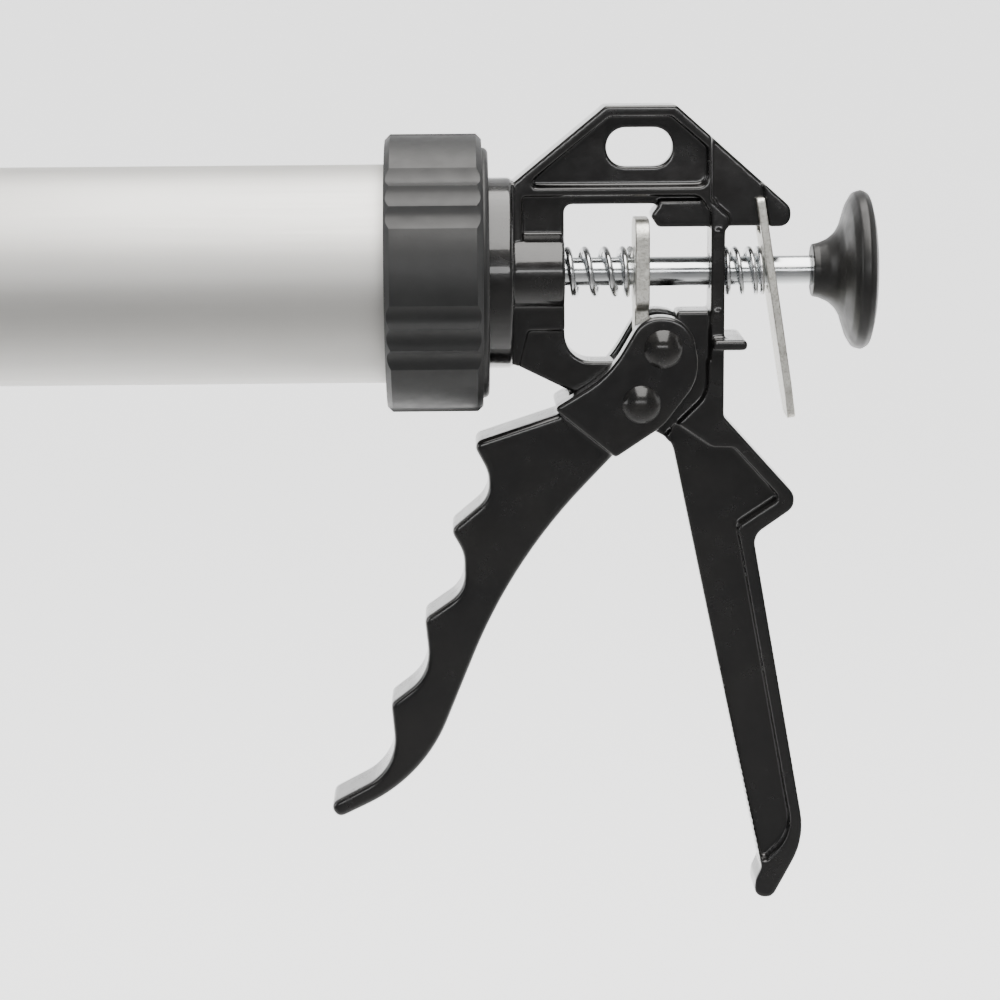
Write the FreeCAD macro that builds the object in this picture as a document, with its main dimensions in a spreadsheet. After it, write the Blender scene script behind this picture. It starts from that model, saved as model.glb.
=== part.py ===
import FreeCAD, Part
import math
import os
import Sketcher
from FreeCAD import Placement, Rotation, Vector

# Closed-barrel caulking gun for foil packs and cartridges, drawn in millimetres.
# The origin is the middle of the fixed grip, where the hand holds the tool. +Z is up, +X
# points back to the pull knob and the barrel's axis is parallel to X. Inside each body the
# drawing datum is the push rod's axis at the rear face of the frame's hub.

DRIVING_SIZES = [
    # the datum
    ("axis_height", 112.0, "rod axis above the middle of the grip"),
    ("hub_setback", 51.0, "hub rear face ahead of the middle of the grip"),
    # the barrel and its two rings
    ("tube_radius", 29.5, "barrel outside"),
    ("tube_wall", 1.75, "barrel wall"),
    ("tube_length", 240.0, "barrel length"),
    ("thread_depth", 0.5, "rolled thread in the barrel's ends"),
    ("thread_spacing", 3.0, "thread pitch"),
    ("ring_wall", 8.1, "lock ring over its crests, beyond the barrel's outside"),
    ("ring_grip", 20.5, "length of a ring that covers the barrel"),
    ("ring_lip", 2.9, "inward lip of a ring"),
    ("ring_shoulder", 1.7, "shoulder beyond the ring's ridges"),
    ("ring_step", 3.8, "drop from the ridges to the shoulder"),
    ("ring_bevel", 1.5, "bevel on both ends of the ridges"),
    ("scallop_radius", 5.6, "radius of the scallops between the ring's crests"),
    ("scallop_depth", 1.0, "depth of the scallops"),
    ("turning_gap", 0.3, "air between parts that turn on each other"),
    ("fit_gap", 0.05, "radial play of a shaft in its bore"),
    # the frame's collar and hub
    ("collar_length", 6.0, "collar length that shows"),
    ("collar_setback", 14.2, "collar rear face ahead of the hub's rear face"),
    ("flange_inset", 0.9, "edge of the flange in the ring, inside the barrel's outside"),
    ("collar_step", 2.8, "collar behind the rear ring, below the flange's edge"),
    ("flange_thickness", 2.9, "flange thickness"),
    ("spigot_length", 5.6, "spigot that centres the barrel"),
    ("washer_thickness", 0.8, "swivel washer"),
    ("hub_radius", 11.2, "hub that guides the rod"),
    # the frame casting
    ("frame_half", 7.0, "half the frame's width over its rims"),
    ("web_half", 2.5, "half the recessed web's thickness"),
    ("land_half", 5.6, "half the width between the trigger's cheeks"),
    ("arm_half", 4.5, "half the width of the arm above the release plate"),
    ("rim_width", 2.8, "rim round the recessed panels"),
    ("top_height", 45.1, "top of the frame above the axis"),
    ("window_length", 39.4, "window from the hub to the post"),
    ("window_top", 18.6, "top of the window above the axis"),
    ("window_bottom", 23.8, "bottom of the window under the axis"),
    ("post_thickness", 3.8, "post behind the window"),
    ("arm_bottom", 12.5, "underside of the arm above the axis"),
    ("arm_reach", 17.6, "arm and its nose behind the post"),
    ("slot_length", 17.8, "hang slot, end to end"),
    ("slot_width", 10.4, "hang slot, top to bottom"),
    ("slot_centre", 20.3, "hang slot behind the hub's rear face"),
    ("slot_height", 33.8, "hang slot above the axis"),
    ("lug_half", 12.0, "half the stop bar's width"),
    ("lug_reach", 5.8, "stop bar behind the post"),
    ("lug_thickness", 2.8, "stop bar thickness"),
    ("lug_drop", 17.5, "top of the stop bar under the axis"),
    ("grip_rim", 3.4, "rim along the grip's rear edge"),
    # the trigger and its two rivets
    ("trigger_half", 9.0, "half the finger lever's width"),
    ("cheek_half", 12.8, "half the width over the trigger's cheeks"),
    ("cheek_gap", 0.3, "air between the frame and each cheek"),
    ("pivot_x", 20.4, "pivot behind the hub's rear face"),
    ("pivot_drop", 34.6, "pivot under the axis"),
    ("pusher_x", 26.2, "pusher behind the hub's rear face"),
    ("pusher_drop", 19.6, "pusher under the axis"),
    ("pivot_radius", 3.0, "pivot rivet shank"),
    ("pusher_radius", 3.3, "pusher rivet shank"),
    ("rivet_head_radius", 5.2, "rivet head"),
    ("rivet_head_height", 2.6, "rivet head height"),
    ("lever_round", 1.5, "rounding of the finger lever's edges"),
    # the plates and springs
    ("drive_thickness", 3.9, "drive plate thickness"),
    ("drive_half", 9.0, "half the drive plate's width"),
    ("drive_top", 14.7, "top of the drive plate above the axis"),
    ("drive_bottom", 23.2, "end of the drive plate's tongue under the axis"),
    ("plate_play", 0.5, "radial play of the rod in the plates' holes"),
    ("release_thickness", 2.2, "release plate thickness"),
    ("release_half", 8.0, "half the release plate's width"),
    ("release_lean", 8.8, "lean of the release plate in degrees"),
    ("release_setback", 10.6, "top of the release plate's rear face behind the post"),
    ("release_pivot_height", 19.2, "where the release plate leans on the nose"),
    ("release_length", 59.6, "release plate from its pivot line to its end"),
    ("main_wire", 1.7, "wire of the main spring"),
    ("main_coil", 14.0, "outside diameter of the main spring"),
    ("main_turns", 3.4, "turns of the main spring"),
    ("release_wire", 1.3, "wire of the release spring"),
    ("release_coil", 13.4, "outside diameter of the release spring"),
    ("release_turns", 3.25, "turns of the release spring"),
    # the push rod and what it carries
    ("rod_radius", 4.0, "push rod"),
    ("rod_tail", 35.8, "rod behind the post"),
    ("knob_setback", 24.0, "front of the knob's neck behind the post"),
    ("knob_neck", 7.2, "radius of the knob's neck"),
    ("knob_radius", 21.6, "radius of the knob's rim"),
    ("insert_wall", 1.8, "wall of the sleeve in the knob"),
    ("insert_setback", 2.5, "sleeve inside the front of the knob's neck"),
    ("piston_gap", 0.3, "air between the piston and the bore"),
    ("piston_length", 12.0, "piston length"),
    ("piston_setback", 3.0, "piston front face inside the barrel's front end"),
    ("seal_setback", 4.0, "groove of the piston's seal behind the piston's front face"),
    ("seal_width", 3.2, "width of the piston's seal"),
    ("seal_groove", 3.0, "depth of the seal's groove"),
    ("backing_radius", 14.0, "washer behind the piston"),
    ("backing_thickness", 1.6, "thickness of the washer behind the piston"),
    ("nut_flats", 13.0, "rod nuts across their flats"),
    ("nut_height", 5.5, "rod nut height"),
    ("nut_play", 1.2, "air round the front nut in the piston's well"),
    ("nut_well", 7.0, "depth of the piston's well"),
    # the nozzle
    ("nozzle_flange", 3.0, "nozzle flange held by the front ring"),
    ("nozzle_wall", 1.8, "nozzle wall"),
    ("nozzle_base", 14.0, "length of the nozzle's shallow cone"),
    ("nozzle_spout", 92.0, "length of the nozzle's spout"),
    ("spout_radius", 9.0, "spout radius at its root"),
    ("tip_radius", 4.6, "spout radius at its tip"),
    ("outlet_radius", 2.5, "outlet bore"),
    ("outlet_length", 12.0, "length of the straight outlet bore"),
]

document = FreeCAD.newDocument("caulking_gun")


class Size:
    """A length that carries its value and the expression that ties it to the sheet."""

    def __init__(self, value, text):
        self.value = value
        self.text = text

    def __add__(self, other):
        return Size(self.value + value_of(other), f"({self.text} + {text_of(other)})")

    def __radd__(self, other):
        return Size(value_of(other) + self.value, f"({text_of(other)} + {self.text})")

    def __sub__(self, other):
        return Size(self.value - value_of(other), f"({self.text} - {text_of(other)})")

    def __rsub__(self, other):
        return Size(value_of(other) - self.value, f"({text_of(other)} - {self.text})")

    def __mul__(self, other):
        return Size(self.value * value_of(other), f"({self.text} * {text_of(other)})")

    def __rmul__(self, other):
        return Size(value_of(other) * self.value, f"({text_of(other)} * {self.text})")

    def __truediv__(self, other):
        return Size(self.value / value_of(other), f"({self.text} / {text_of(other)})")

    def __neg__(self):
        return Size(-self.value, f"(0 - {self.text})")


def value_of(number):
    return number.value if isinstance(number, Size) else float(number)


def text_of(number):
    return number.text if isinstance(number, Size) else f"({float(number)!r})"


def fill_sheet():
    """Puts the driving sizes in the sheet and returns each one by its alias."""
    sheet = document.addObject("Spreadsheet::Sheet", "Sizes")
    sizes = {}
    for row, (alias, value, note) in enumerate(DRIVING_SIZES, start=1):
        sheet.set(f"A{row}", alias)
        sheet.set(f"B{row}", str(value))
        sheet.setAlias(f"B{row}", alias)
        sheet.set(f"C{row}", note)
        sizes[alias] = Size(value, f"Sizes.{alias}")
    document.recompute()
    return sizes


S = fill_sheet()

# ---- places that several pieces share, measured from the datum ----

ring_radius = S["tube_radius"] + S["ring_wall"]
flange_radius = S["tube_radius"] - S["flange_inset"]
collar_radius = flange_radius - S["collar_step"]
plate_bore = S["rod_radius"] + S["plate_play"]
collar_rear = -S["collar_setback"]
collar_front = collar_rear - S["collar_length"]
lip_front = collar_front - S["turning_gap"] - S["ring_lip"]
washer_front = lip_front - S["fit_gap"] - S["washer_thickness"]
flange_rear = washer_front - S["turning_gap"] / 2
flange_front = flange_rear - S["flange_thickness"]
tube_rear = flange_front - S["turning_gap"]
tube_front = tube_rear - S["tube_length"]
tube_bore = S["tube_radius"] - S["tube_wall"]
spigot_front = flange_front - S["spigot_length"]
post_front = S["window_length"]
post_rear = post_front + S["post_thickness"]
drive_rear = S["pusher_x"] - S["pusher_radius"] - 2 * S["fit_gap"]
drive_front = drive_rear - S["drive_thickness"]
nozzle_rear = tube_front - 2 * S["fit_gap"]
nozzle_flange_front = nozzle_rear - S["nozzle_flange"]
front_lip_face = nozzle_flange_front - S["fit_gap"]
piston_front = tube_front + S["piston_setback"]
piston_rear = piston_front + S["piston_length"]
seal_start = piston_front + S["seal_setback"]
rod_front = piston_front + 1.0
rod_end = post_rear + S["rod_tail"]
knob_front = post_rear + S["knob_setback"]
insert_radius = S["rod_radius"] + S["insert_wall"]
insert_front = knob_front + S["insert_setback"]
insert_rear = rod_end + 0.2
release_pivot_x = post_rear + S["release_setback"]


# ---- drawing helpers ----


def bind(thing, path, size):
    """Gives a property its value and ties it to the sheet."""
    if isinstance(size, Size):
        thing.setExpression(path, size.text)


def new_body(name):
    """A body whose datum is the hub's rear face on the rod's axis."""
    body = document.addObject("PartDesign::Body", name)
    body.Label = name
    body.Placement = Placement(
        Vector(-S["hub_setback"].value, 0, S["axis_height"].value), Rotation()
    )
    bind(body, "Placement.Base.x", -S["hub_setback"])
    bind(body, "Placement.Base.z", S["axis_height"])
    return body


def origin_part(body, role):
    return next(f for f in body.Origin.OriginFeatures if f.Role == role)


def new_sketch(body, name, plane="XZ_Plane", offset=None):
    """A sketch on one of the body's own origin planes, moved along the plane's normal."""
    sketch = body.newObject("Sketcher::SketchObject", name)
    sketch.AttachmentSupport = (origin_part(body, plane), [""])
    sketch.MapMode = "FlatFace"
    if offset is not None:
        sketch.AttachmentOffset = Placement(Vector(0, 0, value_of(offset)), Rotation())
        bind(sketch, "AttachmentOffset.Base.z", offset)
    return sketch


def hold(sketch, kind, *where, size):
    """Adds a dimension and ties it to the sheet."""
    index = sketch.addConstraint(Sketcher.Constraint(kind, *where, value_of(size)))
    if isinstance(size, Size):
        sketch.setExpression(f"Constraints[{index}]", size.text)


def place(sketch, shape, vertex, across, up):
    hold(sketch, "DistanceX", -1, 1, shape, vertex, size=across)
    hold(sketch, "DistanceY", -1, 1, shape, vertex, size=up)


def arc_end(sketch, arc, spot):
    """Which end of an arc lies on a spot: 1 for its start, 2 for its end."""
    start = sketch.getPoint(arc, 1)
    end = sketch.getPoint(arc, 2)
    return 1 if start.distanceToPoint(spot) < end.distanceToPoint(spot) else 2


def outline(sketch, corners):
    """A closed outline of straight sides; each corner is (across, up, radius)."""
    count = len(corners)
    spots = [Vector(value_of(c[0]), value_of(c[1]), 0) for c in corners]
    ends = []
    for i, (across, up, radius) in enumerate(corners):
        ahead = (spots[(i + 1) % count] - spots[i]).normalize()
        behind = (spots[i - 1] - spots[i]).normalize()
        half = ahead.getAngle(behind) / 2
        reach = value_of(radius) / math.tan(half)
        centre = spots[i] + (ahead + behind).normalize() * (value_of(radius) / math.sin(half))
        ends.append((spots[i] + behind * reach, spots[i] + ahead * reach, centre))
    sides = []
    for i in range(count):
        side = Part.LineSegment(ends[i][1], ends[(i + 1) % count][0])
        sides.append(sketch.addGeometry(side, False))
    for i, (across, up, radius) in enumerate(corners):
        before = sides[i - 1]
        after = sides[i]
        if value_of(radius) == 0:
            sketch.addConstraint(Sketcher.Constraint("Coincident", before, 2, after, 1))
            place(sketch, after, 1, across, up)
            continue
        start, end, centre = ends[i]
        middle = centre + (spots[i] - centre).normalize() * value_of(radius)
        arc = sketch.addGeometry(Part.Arc(start, middle, end), False)
        first = arc_end(sketch, arc, start)
        sketch.addConstraint(Sketcher.Constraint("Tangent", before, 2, arc, first))
        sketch.addConstraint(Sketcher.Constraint("Tangent", after, 1, arc, 3 - first))
        hold(sketch, "Radius", arc, size=radius)
        corner = sketch.addGeometry(Part.Point(spots[i]), True)
        sketch.addConstraint(Sketcher.Constraint("PointOnObject", corner, 1, before))
        sketch.addConstraint(Sketcher.Constraint("PointOnObject", corner, 1, after))
        place(sketch, corner, 1, across, up)


def circle(sketch, across, up, radius):
    spot = Vector(value_of(across), value_of(up), 0)
    round_shape = sketch.addGeometry(Part.Circle(spot, Vector(0, 0, 1), value_of(radius)), False)
    place(sketch, round_shape, 3, across, up)
    hold(sketch, "Radius", round_shape, size=radius)


def pad(body, name, sketch, length, both_sides=True):
    """A pad of a total length, centred on its sketch or standing on it."""
    made = body.newObject("PartDesign::Pad", name)
    made.Profile = sketch
    made.Midplane = both_sides
    made.Length = value_of(length)
    bind(made, "Length", length)
    sketch.Visibility = False
    document.recompute()
    return made


def pocket(body, name, sketch, length=None, both_sides=False, reverse=False, taper=0.0):
    """A pocket of a given depth, or through everything, that must remove material."""
    before = body.Shape.Volume
    made = body.newObject("PartDesign::Pocket", name)
    made.Profile = sketch
    made.Midplane = both_sides
    made.Reversed = reverse
    if length is None:
        made.Type = "ThroughAll"
    else:
        made.Length = value_of(length)
        bind(made, "Length", length)
    made.TaperAngle = taper
    sketch.Visibility = False
    document.recompute()
    if made.Shape.Volume > before - 0.01:
        raise RuntimeError(f"{body.Label}: {name} cuts nothing")
    return made


def both_faces(body, name, feature):
    """Repeats a feature on the other side of the frame's mid-plane."""
    made = body.newObject("PartDesign::Mirrored", name)
    made.Originals = [feature]
    made.MirrorPlane = (origin_part(body, "XZ_Plane"), [""])
    body.Tip = made
    document.recompute()
    return made


def revolve(body, name, corners):
    """A solid turned about the rod's axis from an outline of (along, radius, rounding)."""
    sketch = new_sketch(body, f"{name}_profile")
    outline(sketch, corners)
    made = body.newObject("PartDesign::Revolution", name)
    made.Profile = sketch
    made.ReferenceAxis = (sketch, ["H_Axis"])
    made.Angle = 360
    sketch.Visibility = False
    document.recompute()
    return made


def round_edges(body, name, radius, chosen):
    """A fillet on the edges of the body's last feature for which chosen(edge) is true."""
    base = body.Tip
    edges = [f"Edge{i}" for i, e in enumerate(base.Shape.Edges, start=1) if chosen(e)]
    made = body.newObject("PartDesign::Fillet", name)
    made.Base = (base, edges)
    made.Radius = value_of(radius)
    bind(made, "Radius", radius)
    document.recompute()
    return made


def on_side(edge, half):
    """Whether an edge lies in one of the two faces at a half-width from the mid-plane."""
    box = edge.BoundBox
    flat = box.YLength < 0.001
    return flat and abs(abs(box.YMin) - value_of(half)) < 0.001


# ---- the frame: one die casting with collar, hub, window, post, arm and grip ----


def make_frame():
    body = new_body("frame_casting")
    root = collar_rear - 2.0
    roof_slope = 0.817
    roof_x = 11.0
    arm_end = post_rear + S["arm_reach"]
    sketch = new_sketch(body, "side_view")
    outline(sketch, [
        (root, S["top_height"] - roof_slope * (roof_x - root), 0),
        (roof_x, S["top_height"], 1.0),
        (post_front - 9.5, S["top_height"], 1.0),
        (arm_end, S["arm_bottom"] + 5.2, 3.3),
        (arm_end, S["arm_bottom"], 3.0),
        (post_rear, S["arm_bottom"], 1.5),
        (post_rear, -39.0, 1.0),
        (post_rear + 21.5, -63.0, 4.0),
        (post_rear + 8.4, -72.2, 4.5),
        (67.0, -159.0, 22.0),
        (57.5, -177.0, 3.2),
        (52.7, -175.2, 2.6),
        (53.2, -170.8, 1.5),
        (54.8, -167.4, 1.5),
        (29.2, -45.5, 8.0),
        (root, -23.1, 0),
    ])
    outline(sketch, [
        (0.0, S["window_top"], 2.0),
        (post_front, S["window_top"], 3.0),
        (post_front, -S["window_bottom"], 1.0),
        (0.0, -S["window_bottom"], 7.5),
    ])
    end_x = S["slot_length"] / 2
    end_z = S["slot_width"] / 2
    slot_round = S["slot_width"] * 0.49
    outline(sketch, [
        (S["slot_centre"] - end_x, S["slot_height"] + end_z, slot_round),
        (S["slot_centre"] + end_x, S["slot_height"] + end_z, slot_round),
        (S["slot_centre"] + end_x, S["slot_height"] - end_z, slot_round),
        (S["slot_centre"] - end_x, S["slot_height"] - end_z, slot_round),
    ])
    pad(body, "plate", sketch, 2 * S["frame_half"])

    # the recessed panels, the same on both faces
    bead_top = S["window_top"] + 4.8
    bead_bottom = S["window_top"] + 2.6
    panels = [
        ("roof_panel", S["frame_half"] - S["web_half"], [
            (-11.4, bead_top, 1.5),
            (12.0, S["top_height"] - S["rim_width"], 1.5),
            (post_front - 10.6, S["top_height"] - S["rim_width"], 1.5),
            (post_front - 0.8, 33.8, 1.0),
            (post_front - 0.8, bead_top, 3.0),
        ]),
        ("window_band", S["frame_half"] - 3.4, [
            (-11.5, 9.0, 0),
            (-11.5, bead_bottom, 1.0),
            (post_front - 1.2, bead_bottom, 4.0),
            (post_front - 1.2, 9.0, 0),
        ]),
        ("trigger_land", S["frame_half"] - S["land_half"], [
            (-10.0, -15.0, 0.8),
            (post_front - 0.6, -15.0, 0),
            (post_front - 0.6, -33.0, 9.0),
            (27.5, -44.0, 1.0),
            (22.0, -56.0, 0),
            (-13.0, -27.0, 0),
        ]),
        ("arm_side", S["frame_half"] - S["arm_half"], [
            (post_front, 60.0, 0),
            (post_front, 19.6, 1.0),
            (post_rear + 1.0, 15.4, 1.0),
            (post_rear + 1.0, 8.0, 0),
            (post_rear + 12.5, 8.0, 0),
            (post_rear + 9.4, 29.0, 0.8),
            (post_rear + 11.4, 60.0, 0),
        ]),
        ("grip_channel", S["frame_half"] - S["web_half"], [
            (28.6, -44.6, 2.0),
            (29.8, -40.4, 1.2),
            (post_front + 0.6, -47.4, 2.0),
            (post_rear + 3.2, -47.8, 1.5),
            (post_rear + 15.8, -61.8, 1.5),
            (post_rear + 4.0, -69.6, 2.5),
            (post_rear + 5.4, -76.5, 3.0),
            (63.6 - (S["grip_rim"] - 3.4), -158.0, 12.0),
            (55.0, -166.6, 1.2),
        ]),
    ]
    for name, depth, corners in panels:
        sketch = new_sketch(body, f"{name}_view", offset=S["frame_half"])
        outline(sketch, corners)
        cut = pocket(body, name, sketch, depth)
        both_faces(body, f"{name}_both", cut)

    # stop block at the window's top and the block behind the pusher
    sketch = new_sketch(body, "stop_block_view")
    outline(sketch, [
        (drive_rear + 2.6, S["window_top"] + 1.0, 0),
        (drive_rear + 2.6, S["window_top"], 0),
        (drive_rear + 0.35, S["drive_top"] + 0.9, 1.0),
        (drive_rear + 2.3, S["arm_bottom"], 1.2),
        (post_front + 1.0, S["arm_bottom"], 0),
        (post_front + 1.0, S["window_top"] + 1.0, 0),
    ])
    pad(body, "stop_block", sketch, 2 * S["land_half"])
    sketch = new_sketch(body, "pusher_block_view")
    pusher_stop = S["pusher_x"] + S["pusher_radius"] + 2 * S["turning_gap"]
    outline(sketch, [
        (pusher_stop, -10.2, 1.2),
        (post_front + 1.0, -10.2, 0),
        (post_front + 1.0, -S["window_bottom"] - 1.0, 0),
        (pusher_stop, -S["window_bottom"] - 1.0, 0),
    ])
    pad(body, "pusher_block", sketch, 2 * S["land_half"])
    sketch = new_sketch(body, "stop_bar_view")
    outline(sketch, [
        (post_front + 0.4, -S["lug_drop"], 1.0),
        (post_rear + S["lug_reach"], -S["lug_drop"], 1.2),
        (post_rear + S["lug_reach"], -S["lug_drop"] - S["lug_thickness"], 1.2),
        (post_front + 0.4, -S["lug_drop"] - S["lug_thickness"], 1.0),
    ])
    pad(body, "stop_bar", sketch, 2 * S["lug_half"])

    # collar, flange, spigot and hub, turned about the rod's axis with the rod's bore
    bore = S["rod_radius"] + S["fit_gap"]
    spigot_radius = tube_bore - S["turning_gap"]
    revolve(body, "collar_and_hub", [
        (spigot_front, spigot_radius - 6.0, 0.5),
        (spigot_front, spigot_radius, 0.8),
        (flange_front, spigot_radius, 0),
        (flange_front, flange_radius, 0.5),
        (flange_rear, flange_radius, 0.5),
        (flange_rear, collar_radius, 0),
        (collar_rear, collar_radius, 0.9),
        (collar_rear, S["hub_radius"], 0),
        (0.0, S["hub_radius"], 0.7),
        (0.0, bore, 0),
        (flange_front - 1.5, bore, 0),
        (flange_front - 1.5, spigot_radius - 6.0, 2.0),
    ])
    sketch = new_sketch(body, "hub_bore_view", plane="YZ_Plane", offset=1.0)
    circle(sketch, 0.0, 0.0, bore)
    pocket(body, "hub_bore", sketch, 1.0 - root + 1.0)
    sketch = new_sketch(body, "post_bore_view", plane="YZ_Plane", offset=post_front - 2.0)
    circle(sketch, 0.0, 0.0, S["rod_radius"] + 0.6)
    pocket(body, "post_bore", sketch, S["post_thickness"] + 4.0, reverse=True)
    sketch = new_sketch(body, "pivot_bore_view")
    circle(sketch, S["pivot_x"], -S["pivot_drop"], S["pivot_radius"] + S["fit_gap"])
    pocket(body, "pivot_bore", sketch, both_sides=True)
    return body


# ---- the barrel group ----

SCALLOP_MIDDLE = 38.8
SCALLOP_STEP = 9.7


def groove_rings(first, step, count):
    """Corners of a row of thread grooves cut into the barrel's outside."""
    corners = []
    for turn in range(count):
        centre = first + step * turn
        sign = 1 if value_of(step) > 0 else -1
        corners += [
            (centre - 1.0 * sign, S["tube_radius"], 0),
            (centre, S["tube_radius"] - S["thread_depth"], 0),
            (centre + 1.0 * sign, S["tube_radius"], 0),
        ]
    return corners


def make_barrel_tube():
    body = new_body("barrel_tube")
    turns = 6
    front_first = tube_front + S["thread_spacing"] / 2
    rear_first = tube_rear - S["thread_spacing"] * (turns - 0.5)
    revolve(body, "tube", [
        (tube_front, tube_bore, 0),
        (tube_front, S["tube_radius"], 0.3),
        *groove_rings(front_first + 0.5, S["thread_spacing"], turns),
        *groove_rings(rear_first - 0.5, S["thread_spacing"], turns),
        (tube_rear, S["tube_radius"], 0.3),
        (tube_rear, tube_bore, 0),
    ])
    return body


def make_ring(name, lip_face, open_end, lip_side):
    """A lock ring whose lip is at its rear end (lip_side 1) or at its front end (-1)."""
    body = new_body(name)
    lip_end = lip_face + lip_side * S["ring_lip"]
    ridge_end = lip_end - lip_side * S["ring_shoulder"]
    bore = S["tube_radius"] + S["fit_gap"]
    throat = collar_radius + S["turning_gap"]
    shoulder = ring_radius - S["ring_step"]
    revolve(body, "ring", [
        (lip_end, throat, 0.5),
        (lip_end, shoulder, 1.4),
        (ridge_end, shoulder, 0),
        (ridge_end, ring_radius - S["ring_bevel"], 0),
        (ridge_end - lip_side * S["ring_bevel"], ring_radius, 0),
        (open_end + lip_side * S["ring_bevel"], ring_radius, 0),
        (open_end, ring_radius - S["ring_bevel"], 0),
        (open_end, bore, 0.4),
        (lip_face, bore, 0),
        (lip_face, throat, 0),
    ])
    # three scallops between four sharp crests, six times round the ring
    reach = ring_radius + S["scallop_radius"] - S["scallop_depth"]
    start = open_end - lip_side * 2.0
    scallops = []
    for number in range(3):
        sketch = new_sketch(body, f"scallop_{number}_view", plane="YZ_Plane", offset=start)
        turn = math.radians(SCALLOP_MIDDLE + SCALLOP_STEP * (number - 1))
        circle(sketch, reach * -math.cos(turn), reach * math.sin(turn), S["scallop_radius"])
        length = S["ring_grip"] + 2.0 + S["ring_lip"] - S["ring_shoulder"] + 1.0
        cut = pocket(body, f"scallop_{number}", sketch, length, reverse=lip_side == 1)
        scallops.append(cut)
    pattern = body.newObject("PartDesign::PolarPattern", "scallop_pattern")
    pattern.Originals = scallops
    pattern.Axis = (origin_part(body, "X_Axis"), [""])
    pattern.Angle = 360
    pattern.Occurrences = 6
    body.Tip = pattern
    document.recompute()
    return body


def make_swivel_washer():
    body = new_body("swivel_washer")
    rear = washer_front + S["washer_thickness"]
    revolve(body, "washer", [
        (washer_front, collar_radius + S["turning_gap"], 0),
        (washer_front, flange_radius, 0),
        (rear, flange_radius, 0),
        (rear, collar_radius + S["turning_gap"], 0),
    ])
    return body


def make_nozzle():
    body = new_body("nozzle")
    wall = S["nozzle_wall"]
    flange = S["tube_radius"] - 0.6
    neck = collar_radius - S["turning_gap"]
    base_end = nozzle_flange_front - S["nozzle_base"]
    tip = base_end - S["nozzle_spout"]
    bore_start = tip + S["outlet_length"]
    revolve(body, "cone", [
        (nozzle_rear, neck - wall - 1.0, 0),
        (nozzle_rear, flange, 0),
        (nozzle_flange_front, flange, 0.4),
        (nozzle_flange_front, neck, 0),
        (nozzle_flange_front - S["ring_lip"], neck, 1.5),
        (base_end, S["spout_radius"] + 2.0, 4.0),
        (base_end - 6.0, S["spout_radius"], 6.0),
        (tip, S["tip_radius"], 0.5),
        (tip, S["outlet_radius"], 0),
        (bore_start, S["outlet_radius"], 0),
        (base_end - 6.0, S["spout_radius"] - wall, 6.0),
        (base_end + 2.0, S["spout_radius"], 4.0),
    ])
    return body


def make_nozzle_seal():
    body = new_body("nozzle_seal")
    inner = tube_bore - 3.6
    front = nozzle_rear + 2 * S["fit_gap"]
    revolve(body, "seal", [
        (front, inner, 0.3),
        (front, tube_bore - S["fit_gap"], 0.3),
        (front + 1.8, tube_bore - S["fit_gap"], 0.3),
        (front + 1.8, inner, 0.3),
    ])
    return body


# ---- the trigger ----

def make_trigger():
    body = new_body("trigger")
    cheek_top = [
        (11.6, -26.6, 30.0),
        (20.9, -10.6, 8.0),
        (34.0, -11.3, 9.0),
        (36.4, -27.5, 14.0),
        (26.5, -40.5, 12.0),
    ]
    # the finger lever, which ends inside the cheeks
    sketch = new_sketch(body, "lever_view")
    outline(sketch, [
        (-25.4, -45.4, 2.2),
        (0.5, -36.9, 0),
        (16.5, -45.6, 0),
        (-14.7, -78.5, 150.0),
        (-39.5, -139.6, 45.0),
        (-63.5, -151.1, 2.1),
        (-66.2, -147.2, 2.1),
        (-46.9, -137.0, 15.0),
        (-48.5, -118.3, 2.0),
        (-37.4, -109.8, 13.0),
        (-38.9, -94.3, 2.2),
        (-27.8, -86.6, 9.0),
        (-27.9, -76.0, 10.0),
        (-31.6, -69.5, 2.2),
        (-20.8, -60.4, 8.0),
        (-21.1, -53.5, 10.0),
    ])
    pad(body, "lever", sketch, 2 * S["trigger_half"])
    round_edges(body, "lever_edges", S["lever_round"], lambda e: on_side(e, S["trigger_half"]))
    sketch = new_sketch(body, "cheek_view")
    outline(sketch, [(-3.4, -35.6, 1.0), *cheek_top, (13.4, -49.2, 1.0)])
    pad(body, "cheeks", sketch, 2 * S["cheek_half"])
    round_edges(body, "cheek_edges", 0.7, lambda e: on_side(e, S["cheek_half"]))
    # the gap for the frame's strut, open far enough for the whole squeeze
    sketch = new_sketch(body, "strut_gap_view")
    outline(sketch, [
        (-34.0, -4.0, 0),
        (-34.0, -15.8, 0),
        (13.2, -39.1, 3.0),
        (20.4, -51.6, 0),
        (46.0, -51.6, 0),
        (46.0, -4.0, 0),
    ])
    pocket(body, "strut_gap", sketch, 2 * (S["land_half"] + S["cheek_gap"]), both_sides=True)
    sketch = new_sketch(body, "rivet_holes_view")
    circle(sketch, S["pivot_x"], -S["pivot_drop"], S["pivot_radius"])
    circle(sketch, S["pusher_x"], -S["pusher_drop"], S["pusher_radius"])
    pocket(body, "rivet_holes", sketch, both_sides=True)
    return body


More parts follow.
